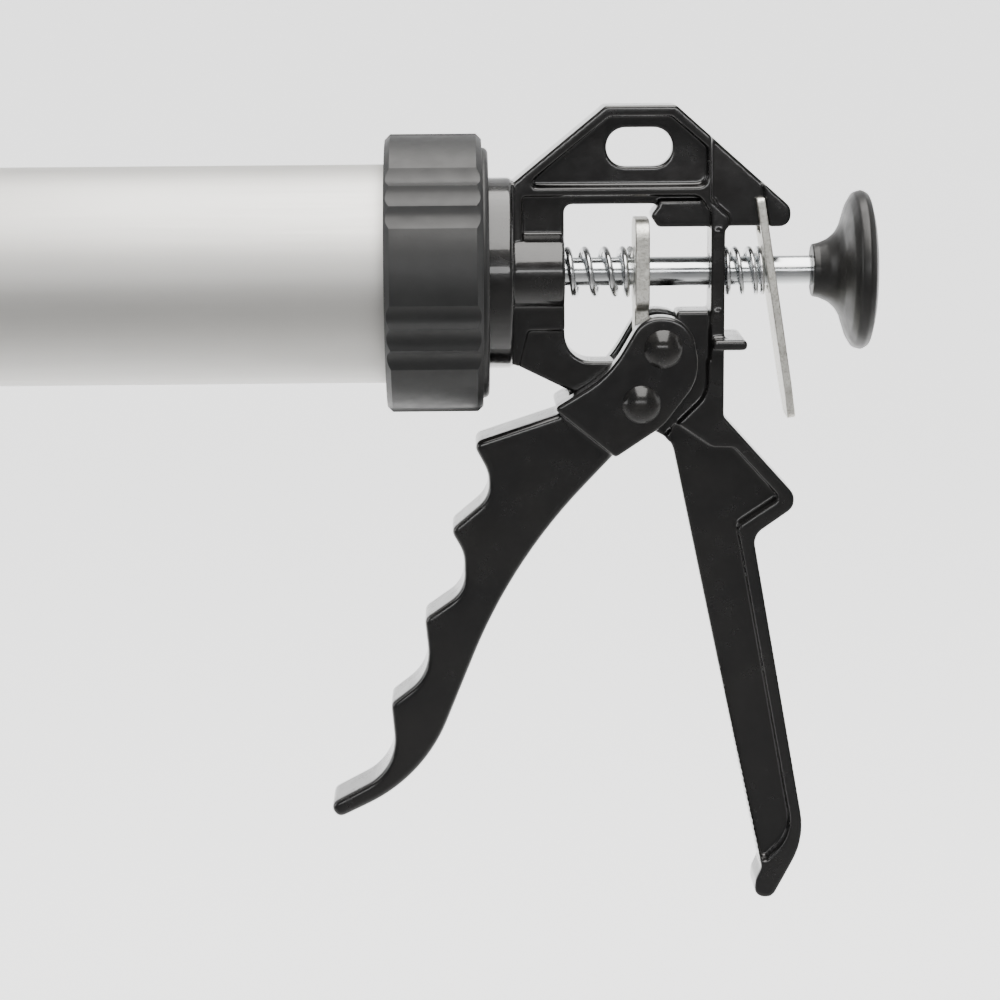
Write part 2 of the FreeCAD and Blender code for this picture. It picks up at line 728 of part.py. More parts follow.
def make_rivet(name, along, drop, radius):
    """A rivet across the cheeks with a domed head at each end."""
    body = new_body(name)
    sketch = new_sketch(body, "half_profile", plane="YZ_Plane", offset=along)
    head = S["rivet_head_radius"]
    height = S["rivet_head_height"]
    cheek = S["cheek_half"]
    outline(sketch, [
        (-cheek - height, -drop, 0),
        (-cheek - height, -drop + head * 0.62, 1.6),
        (-cheek - height * 0.35, -drop + head, 0.9),
        (-cheek, -drop + head, 0.3),
        (-cheek, -drop + radius, 0),
        (cheek, -drop + radius, 0),
        (cheek, -drop + head, 0.3),
        (cheek + height * 0.35, -drop + head, 0.9),
        (cheek + height, -drop + head * 0.62, 1.6),
        (cheek + height, -drop, 0),
    ])
    centre = sketch.addGeometry(
        Part.LineSegment(Vector(-30, -value_of(drop), 0), Vector(30, -value_of(drop), 0)), True
    )
    place(sketch, centre, 1, -30.0, -drop)
    place(sketch, centre, 2, 30.0, -drop)
    made = body.newObject("PartDesign::Revolution", "rivet")
    made.Profile = sketch
    made.ReferenceAxis = (sketch, ["Axis0"])
    made.Angle = 360
    sketch.Visibility = False
    document.recompute()
    return body


# ---- the plates ----


def make_drive_plate():
    body = new_body("drive_plate")
    sketch = new_sketch(body, "plate_view", plane="YZ_Plane", offset=drive_front)
    wide = S["drive_half"]
    tongue = S["land_half"] - 0.2
    outline(sketch, [
        (-wide, S["drive_top"], 5.0),
        (wide, S["drive_top"], 5.0),
        (wide, -8.2, 1.5),
        (tongue, -9.6, 1.0),
        (tongue, -S["drive_bottom"], 1.2),
        (-tongue, -S["drive_bottom"], 1.2),
        (-tongue, -9.6, 1.0),
        (-wide, -8.2, 1.5),
    ])
    circle(sketch, 0.0, 0.0, plate_bore)
    pad(body, "plate", sketch, S["drive_thickness"], both_sides=False)
    round_edges(body, "blanked_edge", 0.35, lambda e: is_outer_rim(e, value_of(drive_front)))
    return body


def is_outer_rim(edge, plane_x):
    """Whether an edge lies in the plane at plane_x and is not the rod hole's."""
    box = edge.BoundBox
    flat = box.XLength < 0.001 and abs(box.XMin - plane_x) < 0.001
    return flat and not (abs(box.Center.y) < 0.01 and abs(box.Center.z) < 0.01)


def make_release_plate():
    body = new_body("release_plate")
    lean = S["release_lean"]
    pivot = Vector(release_pivot_x.value, 0, S["release_pivot_height"].value)
    sketch = new_sketch(body, "plate_view", plane="YZ_Plane")
    # the sketch hangs from the plate's pivot line and leans back with the plate
    sketch.AttachmentOffset = Placement(
        Vector(0, pivot.z, pivot.x), Rotation(Vector(-1, 0, 0), lean.value)
    )
    bind(sketch, "AttachmentOffset.Base.y", S["release_pivot_height"])
    bind(sketch, "AttachmentOffset.Base.z", release_pivot_x)
    bind(sketch, "AttachmentOffset.Rotation.Angle", lean)
    wide = S["release_half"]
    fork = S["arm_half"] + S["turning_gap"]
    rod_place = -S["release_pivot_height"] / math.cos(math.radians(lean.value))
    fork_depth = S["arm_bottom"] - S["release_pivot_height"] - 2.0
    outline(sketch, [
        (-wide, 1.3, 1.2),
        (-fork, 1.3, 1.2),
        (-fork, fork_depth, 1.0),
        (fork, fork_depth, 1.0),
        (fork, 1.3, 1.2),
        (wide, 1.3, 1.2),
        (wide, -S["release_length"] + 9.0, 6.0),
        (wide - 2.4, -S["release_length"], 2.0),
        (-wide + 2.4, -S["release_length"], 2.0),
        (-wide, -S["release_length"] + 9.0, 6.0),
    ])
    circle(sketch, 0.0, rod_place, plate_bore + 0.35)
    made = pad(body, "plate", sketch, S["release_thickness"], both_sides=False)
    made.Reversed = True
    document.recompute()
    return body


# ---- the springs ----


def make_spring(name, start, length, coil, wire, turns):
    """A right-handed coil round the rod, swept by its wire; returns the sweep."""
    mean = (coil - wire) / 2
    helix = document.addObject("Part::Helix", f"{name}_path")
    helix.Radius = value_of(mean)
    helix.Pitch = value_of((length - wire) / turns)
    helix.Height = value_of(length - wire)
    bind(helix, "Radius", mean)
    bind(helix, "Pitch", (length - wire) / turns)
    bind(helix, "Height", length - wire)
    section = document.addObject("Part::Circle", f"{name}_wire")
    section.Radius = value_of(wire / 2)
    bind(section, "Radius", wire / 2)
    section.Placement = Placement(Vector(value_of(mean), 0, 0), Rotation(Vector(1, 0, 0), 90))
    bind(section, "Placement.Base.x", mean)
    sweep = document.addObject("Part::Sweep", name)
    sweep.Label = name
    sweep.Sections = [section]
    sweep.Spine = (helix, ["Edge1"])
    sweep.Solid = True
    sweep.Frenet = True
    base_x = start + wire / 2 - S["hub_setback"]
    sweep.Placement = Placement(
        Vector(value_of(base_x), 0, S["axis_height"].value), Rotation(Vector(0, 1, 0), 90)
    )
    bind(sweep, "Placement.Base.x", base_x)
    bind(sweep, "Placement.Base.z", S["axis_height"])
    document.recompute()
    return sweep


# ---- the push rod, the knob and the piston ----


def make_push_rod():
    body = new_body("push_rod")
    revolve(body, "rod", [
        (rod_front, 0.0, 0),
        (rod_front, S["rod_radius"] - 0.6, 0),
        (rod_front + 0.6, S["rod_radius"], 0),
        (rod_end - 0.6, S["rod_radius"], 0),
        (rod_end, S["rod_radius"] - 0.6, 0),
        (rod_end, 0.0, 0),
    ])
    return body


def make_knob():
    body = new_body("knob")
    neck = S["knob_neck"]
    rim = S["knob_radius"]
    front = knob_front
    revolve(body, "mushroom", [
        (front, S["rod_radius"], 0),
        (front, neck, 0.9),
        (front + 6.8, neck + 0.9, 8.0),
        (front + 11.6, rim, 2.2),
        (front + 15.7, rim, 2.0),
        (front + 16.9, rim * 0.55, 50.0),
        (front + 17.4, 0.0, 0),
        (insert_rear, 0.0, 0),
        (insert_rear, insert_radius, 0),
        (insert_front, insert_radius, 0),
        (insert_front, S["rod_radius"], 0),
    ])
    return body


def make_knob_insert():
    body = new_body("knob_insert")
    revolve(body, "sleeve", [
        (insert_front, S["rod_radius"], 0),
        (insert_front, insert_radius, 0),
        (insert_rear, insert_radius, 0),
        (insert_rear, S["rod_radius"], 0),
    ])
    return body


def make_piston():
    body = new_body("piston_disc")
    radius = tube_bore - S["piston_gap"]
    well = S["nut_flats"] * 0.5 / math.cos(math.radians(30)) + S["nut_play"]
    groove = radius - S["seal_groove"]
    floor = piston_front + S["nut_well"]
    revolve(body, "disc", [
        (piston_front, well, 0.4),
        (piston_front, radius, 1.0),
        (seal_start, radius, 0),
        (seal_start, groove, 0),
        (seal_start + S["seal_width"], groove, 0),
        (seal_start + S["seal_width"], radius, 0),
        (piston_rear, radius, 1.0),
        (piston_rear, S["rod_radius"], 0),
        (floor, S["rod_radius"], 0),
        (floor, well, 0.4),
    ])
    return body


def make_piston_seal():
    body = new_body("piston_seal")
    inner = tube_bore - S["piston_gap"] - S["seal_groove"]
    outer = tube_bore - S["piston_gap"] / 2
    rear = seal_start + S["seal_width"]
    revolve(body, "seal", [
        (seal_start, inner, 0.3),
        (seal_start, outer, 0.9),
        (rear, outer, 0.9),
        (rear, inner, 0.3),
    ])
    return body


def make_backing_washer():
    body = new_body("backing_washer")
    rear = piston_rear + S["backing_thickness"]
    revolve(body, "washer", [
        (piston_rear, S["rod_radius"], 0),
        (piston_rear, S["backing_radius"], 0.4),
        (rear, S["backing_radius"], 0.4),
        (rear, S["rod_radius"], 0),
    ])
    return body


def make_rod_nuts():
    """The two nuts that clamp the piston on the rod, in one node."""
    across = S["nut_flats"]
    nuts = []
    starts = (
        piston_front + S["nut_well"] - S["nut_height"],
        piston_rear + S["backing_thickness"],
    )
    for number, start in enumerate(starts, start=1):
        hexagon = document.addObject("Part::Prism", f"nut_{number}_hexagon")
        hexagon.Polygon = 6
        hexagon.Circumradius = across.value / math.sqrt(3)
        hexagon.Height = S["nut_height"].value
        bind(hexagon, "Circumradius", across * (1 / math.sqrt(3)))
        bind(hexagon, "Height", S["nut_height"])
        hole = document.addObject("Part::Cylinder", f"nut_{number}_hole")
        hole.Radius = S["rod_radius"].value
        hole.Height = S["nut_height"].value
        bind(hole, "Radius", S["rod_radius"])
        bind(hole, "Height", S["nut_height"])
        nut = document.addObject("Part::Cut", f"nut_{number}")
        nut.Base = hexagon
        nut.Tool = hole
        place_x = start - S["hub_setback"]
        nut.Placement = Placement(
            Vector(value_of(place_x), 0, S["axis_height"].value), Rotation(Vector(0, 1, 0), 90)
        )
        bind(nut, "Placement.Base.x", place_x)
        bind(nut, "Placement.Base.z", S["axis_height"])
        nuts.append(nut)
    group = document.addObject("Part::Compound", "rod_nuts")
    group.Label = "rod_nuts"
    group.Links = nuts
    document.recompute()
    return group


# the release plate's front face at the rod, and the air its lean needs over the spring
release_slope = math.tan(math.radians(S["release_lean"].value))
release_front = release_pivot_x - S["release_thickness"] + S["release_pivot_height"] * release_slope
SPRING_END_AIR = 1.4

pieces = [
    make_frame(),
    make_barrel_tube(),
    make_ring("rear_lock_ring", lip_front, tube_rear - S["ring_grip"], 1),
    make_ring("front_lock_ring", front_lip_face, tube_front + S["ring_grip"], -1),
    make_swivel_washer(),
    make_nozzle(),
    make_nozzle_seal(),
    make_trigger(),
    make_rivet("pivot_rivet", S["pivot_x"], S["pivot_drop"], S["pivot_radius"]),
    make_rivet("pusher_rivet", S["pusher_x"], S["pusher_drop"], S["pusher_radius"]),
    make_drive_plate(),
    make_release_plate(),
    make_spring(
        "main_spring", S["fit_gap"], drive_front - 2 * S["fit_gap"],
        S["main_coil"], S["main_wire"], S["main_turns"],
    ),
    make_spring(
        "release_spring", post_rear + S["fit_gap"], release_front - post_rear - SPRING_END_AIR,
        S["release_coil"], S["release_wire"], S["release_turns"],
    ),
    make_push_rod(),
    make_knob(),
    make_knob_insert(),
    make_piston(),
    make_piston_seal(),
    make_backing_washer(),
    make_rod_nuts(),
]

document.recompute()
for thing in document.Objects:
    if "Invalid" in thing.State or "Error" in thing.State:
        raise RuntimeError(f"{thing.Label} did not build: {thing.State}")
for piece in pieces:
    if piece.Shape.isNull() or not piece.Shape.isValid():
        raise RuntimeError(f"{piece.Label} has no valid shape")

os.makedirs("parts", exist_ok=True)
for piece in pieces:
    piece.Shape.exportStep(f"parts/{piece.Label}.step")
    box = piece.Shape.BoundBox
    print(
        f"{piece.Label}: {len(piece.Shape.Solids)} solids, {piece.Shape.Volume / 1000:.2f} cm3,"
        f" x {box.XMin:.1f}..{box.XMax:.1f} y {box.YMin:.1f}..{box.YMax:.1f}"
        f" z {box.ZMin:.1f}..{box.ZMax:.1f}"
    )
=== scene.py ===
import bmesh
import bpy
import math
from mathutils import Matrix, Vector


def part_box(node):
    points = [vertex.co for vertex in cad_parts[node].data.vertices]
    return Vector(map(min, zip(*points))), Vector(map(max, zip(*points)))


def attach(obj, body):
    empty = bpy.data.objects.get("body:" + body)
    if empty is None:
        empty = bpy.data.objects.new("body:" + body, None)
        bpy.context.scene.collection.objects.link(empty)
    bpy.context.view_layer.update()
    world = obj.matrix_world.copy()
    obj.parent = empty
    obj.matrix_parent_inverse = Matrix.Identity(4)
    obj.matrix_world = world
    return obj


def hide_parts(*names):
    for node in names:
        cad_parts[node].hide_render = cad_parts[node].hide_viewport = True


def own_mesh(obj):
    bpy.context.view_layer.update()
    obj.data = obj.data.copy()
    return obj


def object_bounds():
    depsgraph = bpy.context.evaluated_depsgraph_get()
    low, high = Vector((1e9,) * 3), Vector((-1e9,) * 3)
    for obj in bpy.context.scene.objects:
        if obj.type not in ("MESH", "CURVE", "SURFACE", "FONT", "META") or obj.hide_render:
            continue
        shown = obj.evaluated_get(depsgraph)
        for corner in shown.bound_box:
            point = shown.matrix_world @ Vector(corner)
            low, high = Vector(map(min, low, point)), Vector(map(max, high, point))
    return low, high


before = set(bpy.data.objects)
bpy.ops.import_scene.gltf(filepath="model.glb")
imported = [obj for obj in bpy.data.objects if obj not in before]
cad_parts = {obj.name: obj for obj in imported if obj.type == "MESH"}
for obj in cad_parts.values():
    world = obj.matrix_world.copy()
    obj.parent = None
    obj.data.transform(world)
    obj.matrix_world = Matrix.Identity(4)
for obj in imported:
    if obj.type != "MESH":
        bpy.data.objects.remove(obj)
cad_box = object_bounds()
mm = 0.001

# ---------------------------------------------------------------- camera, studio and lights
# The tool hangs in a pale studio: a floor that curves up into a glowing wall behind it, one
# long soft light overhead, a weak upright one at each side and a low strip in front, which
# draws the long highlights. Everything is placed from the hub's rear face, on the rod's axis.

rod_low, rod_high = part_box("push_rod")
rod_rear = 79.0
hub = Vector((rod_high.x - rod_rear * mm, 0, (rod_low.z + rod_high.z) / 2))

# turns are in radians: yaw to the right, pitch down, roll about the line of sight
camera_spot = hub + Vector((-29.0, -750.7, 82.5)) * mm
camera_yaw = 0.01492
camera_pitch = 0.19116
camera_roll = -0.00739
camera_data = bpy.data.cameras.new("camera")
camera_data.sensor_width = 36
camera_data.lens = 99.84
camera_data.clip_start = 0.01
camera_data.clip_end = 20
camera = bpy.data.objects.new("camera", camera_data)
bpy.context.scene.collection.objects.link(camera)
level = Vector((math.cos(camera_yaw), -math.sin(camera_yaw), 0))
ahead = Vector((math.sin(camera_yaw), math.cos(camera_yaw), 0))
sight = ahead * math.cos(camera_pitch) - Vector((0, 0, math.sin(camera_pitch)))
over = Vector((0, 0, math.cos(camera_pitch))) + ahead * math.sin(camera_pitch)
side = level * math.cos(camera_roll) + over * math.sin(camera_roll)
top = over * math.cos(camera_roll) - level * math.sin(camera_roll)
camera.matrix_world = Matrix((
    (side.x, top.x, -sight.x, camera_spot.x),
    (side.y, top.y, -sight.y, camera_spot.y),
    (side.z, top.z, -sight.z, camera_spot.z),
    (0, 0, 0, 1),
))
bpy.context.scene.camera = camera


def studio_sweep():
    """A floor with its edge curved up into a wall, all round the tool, in metres."""
    reach, corner, height = 3.6, 2.2, 4.0
    corner_steps, sides = 36, 64
    floor_z = cad_box[0][2] - 0.22
    profile = [(reach - corner, 0.0)]
    profile += [
        (reach - corner + corner * math.sin(a), corner - corner * math.cos(a))
        for a in (math.radians(90 / corner_steps * step) for step in range(1, corner_steps + 1))
    ]
    profile.append((reach, height))
    mesh = bmesh.new()
    rings = [
        [
            mesh.verts.new((radius * math.cos(a), radius * math.sin(a), floor_z + rise))
            for a in (math.tau * step / sides for step in range(sides))
        ]
        for radius, rise in profile
    ]
    mesh.faces.new(rings[0])
    for low, high in zip(rings, rings[1:]):
        for i in range(sides):
            j = (i + 1) % sides
            mesh.faces.new((low[i], low[j], high[j], high[i]))
    bmesh.ops.recalc_face_normals(mesh, faces=mesh.faces)
    data = bpy.data.meshes.new("studio_sweep")
    mesh.to_mesh(data)
    mesh.free()
    data.shade_smooth()
    sweep = bpy.data.objects.new("studio_sweep", data)
    bpy.context.scene.collection.objects.link(sweep)
    paint = bpy.data.materials.new("studio_white")
    paint.use_nodes = True
    nodes = paint.node_tree.nodes
    join = paint.node_tree.links.new
    shader = nodes["Principled BSDF"]
    shader.inputs["Roughness"].default_value = 0.9
    shader.inputs["Emission Color"].default_value = (1, 1, 1, 1)
    parts = nodes.new("ShaderNodeSeparateXYZ")
    join(nodes.new("ShaderNodeTexCoord").outputs["Object"], parts.inputs["Vector"])

    def fade(along, start, end, low, high):
        """A number that eases from low to high between two places along an axis."""
        share = nodes.new("ShaderNodeMapRange")
        share.interpolation_type = "SMOOTHSTEP"
        share.inputs["From Min"].default_value = start
        share.inputs["From Max"].default_value = end
        share.inputs["To Min"].default_value = low
        share.inputs["To Max"].default_value = high
        join(parts.outputs[along], share.inputs["Value"])
        return share.outputs["Result"]

    # the floor and the low wall behind the tool glow; in front and above they are dim, so
    # that the gloss on the tool has something dark to mirror
    glow = nodes.new("ShaderNodeMath")
    glow.operation = "MULTIPLY"
    join(fade("Y", -0.2, 0.55, 0.09, 1.6), glow.inputs[0])
    join(fade("Z", 0.45, 1.3, 1.0, 0.12), glow.inputs[1])
    join(glow.outputs[0], shader.inputs["Emission Strength"])
    join(fade("Y", -0.6, 0.3, 0.13, 0.9), shader.inputs["Base Color"])
    data.materials.append(paint)


studio_sweep()


def soft_light(name, spot, aim, wide, tall, power, tint=(1, 1, 1)):
    """An oblong lamp at a spot, turned to an aim; metres and watts."""
    data = bpy.data.lights.new(name, "AREA")
    data.shape = "RECTANGLE"
    data.size = wide
    data.size_y = tall
    data.energy = power
    data.color = tint
    light = bpy.data.objects.new(name, data)
    light.location = spot
    light.rotation_euler = (Vector(aim) - Vector(spot)).to_track_quat("-Z", "Y").to_euler()
    bpy.context.scene.collection.objects.link(light)


warm_white = (1, 0.98, 0.95)
soft_light("overhead", (0, -0.22, 1.1), (0, 0, 0.1), wide=0.85, tall=1.9, power=33, tint=warm_white)
soft_light("left_panel", (-1.2, -0.3, 0.45), (-0.05, 0, 0.08), wide=0.4, tall=0.9, power=4)
soft_light("right_panel", (1.2, -0.2, 0.45), (0, 0, 0.08), wide=0.3, tall=0.9, power=1.4)
soft_light("front_strip", (-0.1, -1.7, 0.42), (-0.02, 0, 0.1), wide=1.5, tall=0.2, power=6)

world = bpy.data.worlds.new("studio")
world.use_nodes = True
world.node_tree.nodes["Background"].inputs["Color"].default_value = (1, 1, 1, 1)
world.node_tree.nodes["Background"].inputs["Strength"].default_value = 0.25
bpy.context.scene.world = world

# ---------------------------------------------------------------- frame casting
# One die casting in gloss black powder coat: collar, hub, window, post, arm and the fixed
# grip. The die's corners are soft, the coat rounds them further and has a light orange
# peel, and small beads of coat stand at the post's edges.


class Paint:
    """A node material with a short way to add and join its nodes."""

    def __init__(self, name):
        self.made = bpy.data.materials.new(name)
        self.made.use_nodes = True
        self.nodes = self.made.node_tree.nodes
        self.shader = self.nodes["Principled BSDF"]
        self.place = self.nodes.new("ShaderNodeTexCoord").outputs["Object"]

    def set(self, **sockets):
        """Sets the shader's own sockets; a name's underscores stand for spaces."""
        for name, value in sockets.items():
            self.shader.inputs[name.replace("_", " ")].default_value = value
        return self

    def join(self, out, into):
        """Links a socket to another."""
        self.made.node_tree.links.new(out, into)

    def noise(self, size, detail=3.0, rough=0.5, stretch=None):
        """Noise whose lumps are about size metres across; stretch scales the space first."""
        node = self.nodes.new("ShaderNodeTexNoise")
        node.inputs["Scale"].default_value = 1 / size
        node.inputs["Detail"].default_value = detail
        node.inputs["Roughness"].default_value = rough
        space = self.place
        if stretch:
            mapping = self.nodes.new("ShaderNodeMapping")
            mapping.inputs["Scale"].default_value = stretch
            self.join(space, mapping.inputs["Vector"])
            space = mapping.outputs["Vector"]
        self.join(space, node.inputs["Vector"])
        return node.outputs["Fac"]

    def ramp(self, source, stops):
        """A colour ramp over a noise; stops are (place, (r, g, b))."""
        node = self.nodes.new("ShaderNodeValToRGB")
        band = node.color_ramp
        while len(band.elements) < len(stops):
            band.elements.new(0.5)
        for element, (spot, colour) in zip(band.elements, stops):
            element.position = spot
            element.color = (*colour, 1)
        self.join(source, node.inputs["Fac"])
        return node.outputs["Color"]

    def grey(self, source, low, high, start=0.3, end=0.7):
        """Maps a noise to a plain number between low and high."""
        node = self.nodes.new("ShaderNodeMapRange")
        node.inputs["From Min"].default_value = start
        node.inputs["From Max"].default_value = end
        node.inputs["To Min"].default_value = low
        node.inputs["To Max"].default_value = high
        self.join(source, node.inputs["Value"])
        return node.outputs["Result"]

    def bump(self, *layers):
        """Stacks bumps, each (height socket, depth in metres)."""
        previous = None
        for height, depth in layers:
            node = self.nodes.new("ShaderNodeBump")
            node.inputs["Distance"].default_value = depth
            self.join(height, node.inputs["Height"])
            if previous:
                self.join(previous, node.inputs["Normal"])
            previous = node.outputs["Normal"]
        self.join(previous, self.shader.inputs["Normal"])
        return self


def powder_coat():
    paint = Paint("black_powder_coat").set(
        IOR=1.5, Coat_Weight=0.55, Coat_Roughness=0.05, Coat_IOR=1.55
    )
    cloud = paint.noise(0.018, 4.0, 0.55)
    colour = paint.ramp(cloud, [(0.3, (0.0045, 0.0045, 0.005)), (0.7, (0.010, 0.0095, 0.009))])
    paint.join(colour, paint.shader.inputs["Base Color"])
    haze = paint.noise(0.006, 5.0, 0.6)
    paint.join(paint.grey(haze, 0.17, 0.30), paint.shader.inputs["Roughness"])
    paint.bump(
        (paint.noise(0.0011, 2.0), 0.000022),
        (paint.noise(0.007, 2.0), 0.00006),
        (paint.noise(0.0003, 1.0), 0.000003),
    )
    return paint.made


black_coat = powder_coat()


def softened(name, node, voxel, passes, keep, extras=()):
    """A copy of a CAD node with its corners rounded the way a die or a coat rounds them.

    The copy is remeshed at a voxel size in metres, relaxed in so many passes and thinned to
    a share of its faces. Extras add small closed shapes to it first.
    """
    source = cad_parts[node]
    piece = bpy.data.objects.new(name, source.data.copy())
    bpy.context.scene.collection.objects.link(piece)
    piece.data.materials.clear()
    mesh = bmesh.new()
    mesh.from_mesh(piece.data)
    for extra in extras:
        extra(mesh)
    mesh.to_mesh(piece.data)
    mesh.free()
    remesh = piece.modifiers.new("remesh", "REMESH")
    remesh.mode = "VOXEL"
    remesh.voxel_size = voxel
    remesh.use_smooth_shade = True
    relax = piece.modifiers.new("relax", "SMOOTH")
    relax.factor = 0.5
    relax.iterations = passes
    thin = piece.modifiers.new("thin", "DECIMATE")
    thin.ratio = keep
    apply_all(piece)
    return piece


def apply_all(piece):
    """Turns the piece's modifiers into plain mesh."""
    graph = bpy.context.evaluated_depsgraph_get()
    data = bpy.data.meshes.new_from_object(piece.evaluated_get(graph))
    piece.modifiers.clear()
    piece.data = data
    data.shade_smooth()


def place(piece, material, slot, body, *nodes):
    """Gives a piece its finish and lets it stand for its CAD nodes on their body."""
    piece.data.materials.clear()
    piece.data.materials.append(material)
    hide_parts(*nodes)
    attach(piece, body)


def drop(along, across, up, radius, squeeze=1.0):
    """A small closed bead at a spot measured from the hub, in millimetres."""

    def grow(mesh):
        spot = Matrix.Translation(hub + Vector((along, across, up)) * mm)
        shape = Matrix.Diagonal((1, squeeze, 1, 1))
        bmesh.ops.create_icosphere(mesh, subdivisions=3, radius=radius * mm, matrix=spot @ shape)

    return grow


bead_places = (
    (57.3, 4.3, 15.8, 2.2, 0.35),
    (41.3, 6.3, 11.2, 1.5, 0.8),
    (41.3, 6.3, -10.6, 1.5, 0.8),
)
casting_beads = [
    drop(along, side * across, up, radius, squeeze)
    for side in (-1, 1)
    for along, across, up, radius, squeeze in bead_places
]
cast_voxel, cast_passes, cast_keep = 0.38 * mm, 11, 0.16
casting = softened(
    "casting", "frame_casting", cast_voxel, cast_passes, cast_keep, casting_beads
)
place(casting, black_coat, "black_powder_coat", "frame", "frame_casting")

# ---------------------------------------------------------------- trigger
# The finger lever with its two cheeks, a second die casting in the same coat. The cheeks
# sit either side of the frame's strut and turn on the lower rivet.

lever = softened("lever", "trigger", cast_voxel, cast_passes, cast_keep)
place(lever, black_coat, "black_powder_coat", "trigger", "trigger")

# ---------------------------------------------------------------- rivets
# Two steel rivets across the cheeks, their heads pressed to smooth domes and painted
# black. The lower one is the trigger's pivot, the upper one pushes the drive plate.


def rounded(corners):
    """Replaces each corner (along, radius, rounding) of a profile with a short arc."""
    count = len(corners)
    spots = [Vector((along, radius)) for along, radius, _ in corners]
    path = []
    for i, corner in enumerate(corners):
        rounding = corner[2]
        if not rounding:
            path.append(spots[i])
            continue
        before = (spots[i - 1] - spots[i]).normalized()
        after = (spots[(i + 1) % count] - spots[i]).normalized()
        half = before.angle(after) / 2
        reach = rounding / math.tan(half)
        centre = spots[i] + (before + after).normalized() * rounding / math.sin(half)
        start = spots[i] + before * reach - centre
        sweep = start.angle_signed(spots[i] + after * reach - centre)
        steps = max(3, round(abs(sweep) * (3 + rounding * 1.6)))
        for k in range(steps + 1):
            turn = -sweep * k / steps
            path.append(centre + Matrix.Rotation(turn, 2) @ start)
    return path


def around(sides):
    """So many evenly spaced angles of a full turn."""
    return [math.tau * i / sides for i in range(sides)]


def turned(name, corners, centre=None, across=False, angles=None, shape=None):
    """A closed solid of revolution about the rod's axis, or about a line across the tool
    through a centre. Corners are (along, radius, rounding) in millimetres, in order round
    the profile; shape(point, angle) may move each of its points."""
    centre = centre or hub
    angles = angles or around(144)
    profile = rounded(corners)
    mesh = bmesh.new()
    rings = []
    for point in profile:
        on_axis = abs(point.y) < 1e-6
        angles_here = angles[:1] if on_axis else angles
        ring = []
        for angle in angles_here:
            along, radius = shape(point, angle) if shape else point
            out = Vector((0, -math.cos(angle), math.sin(angle))) * radius
            spot = Vector((along, 0, 0)) + out
            if across:
                spot = Vector((-spot.y, spot.x, spot.z))
            ring.append(mesh.verts.new(centre + spot * mm))
        rings.append(ring)
    count = len(angles)
    for low, high in zip(rings, rings[1:] + rings[:1]):
        if len(low) == 1 and len(high) == 1:
            continue
        for i in range(count):
            j = (i + 1) % count
            patch = [
                low[i % len(low)], low[j % len(low)], high[j % len(high)], high[i % len(high)]
            ]
            mesh.faces.new(list(dict.fromkeys(patch)))
    bmesh.ops.recalc_face_normals(mesh, faces=mesh.faces)
    data = bpy.data.meshes.new(name)
    mesh.to_mesh(data)
    mesh.free()
    data.shade_smooth()
    data.set_sharp_from_angle(angle=math.radians(32))
    piece = bpy.data.objects.new(name, data)
    bpy.context.scene.collection.objects.link(piece)
    return piece


def rivet_paint():
    paint = Paint("black_rivets").set(IOR=1.5)
    cloud = paint.noise(0.003, 3.0)
    colour = paint.ramp(cloud, [(0.3, (0.012, 0.012, 0.012)), (0.7, (0.022, 0.021, 0.02))])
    paint.join(colour, paint.shader.inputs["Base Color"])
    paint.join(paint.grey(paint.noise(0.004), 0.16, 0.24), paint.shader.inputs["Roughness"])
    paint.bump((paint.noise(0.0006, 2.0), 0.000003), (paint.noise(0.003, 2.0), 0.00002))
    return paint.made


black_paint = rivet_paint()
head_depth, dome_height, head_undercut, dome_steps = 2.6, 2.4, 0.12, 14
for name, shank in (("pivot_rivet", 3.0), ("pusher_rivet", 3.3)):
    low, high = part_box(name)
    half = (high.y - low.y) / 2 / mm
    head = (high.x - low.x) / 2 / mm
    under = half - head_depth
    ball = (head ** 2 + dome_height ** 2) / (2 * dome_height)
    reach = math.asin(head / ball)
    dome = [(under, head - head_undercut, 0)] + [
        (half - ball * (1 - math.cos(turn)), ball * math.sin(turn), 0)
        for turn in (reach * (1 - step / dome_steps) for step in range(dome_steps))
    ]
    rivet = turned(
        f"{name}_body",
        [(-half, 0, 0)] + [(-along, radius, 0) for along, radius, _ in reversed(dome)]
        + [(-under, shank, 0), (under, shank, 0)] + dome + [(half, 0, 0)],
        centre=(low + high) / 2, across=True, angles=around(64),
    )
    place(rivet, black_paint, "black_rivets", "trigger", name)

# ---------------------------------------------------------------- drive and release plates
# Two plates blanked from zinc plated steel, with dull, mottled faces. The thick one stands
# upright in the window, the thin one leans behind the post with its head over the nose.


def blanked_steel():
    paint = Paint("plated_plate").set(Metallic=1.0, Specular_IOR_Level=0.5)
    cloud = paint.noise(0.004, 6.0, 0.65)
    specks = paint.noise(0.0007, 3.0, 0.6)
    base = paint.ramp(cloud, [
        (0.3, (0.66, 0.65, 0.60)), (0.55, (0.80, 0.79, 0.74)), (0.8, (0.88, 0.88, 0.85)),
    ])
    dirt = paint.ramp(specks, [(0.36, (0.36, 0.34, 0.28)), (0.5, (1.0, 1.0, 1.0))])
    node = paint.nodes.new("ShaderNodeMix")
    node.data_type = "RGBA"
    node.blend_type = "MULTIPLY"
    node.inputs["Factor"].default_value = 0.4
    paint.join(base, node.inputs[6])
    paint.join(dirt, node.inputs[7])
    paint.join(node.outputs[2], paint.shader.inputs["Base Color"])
    paint.join(paint.grey(cloud, 0.34, 0.52), paint.shader.inputs["Roughness"])
    paint.bump((specks, 0.00004), (paint.noise(0.0022, 3.0), 0.00008))
    return paint.made


dull_zinc = blanked_steel()
for name in ("drive_plate", "release_plate"):
    plate = softened(f"{name}_blank", name, voxel=0.24 * mm, passes=3, keep=0.3)
    place(plate, dull_zinc, "plated_plate", name, name)

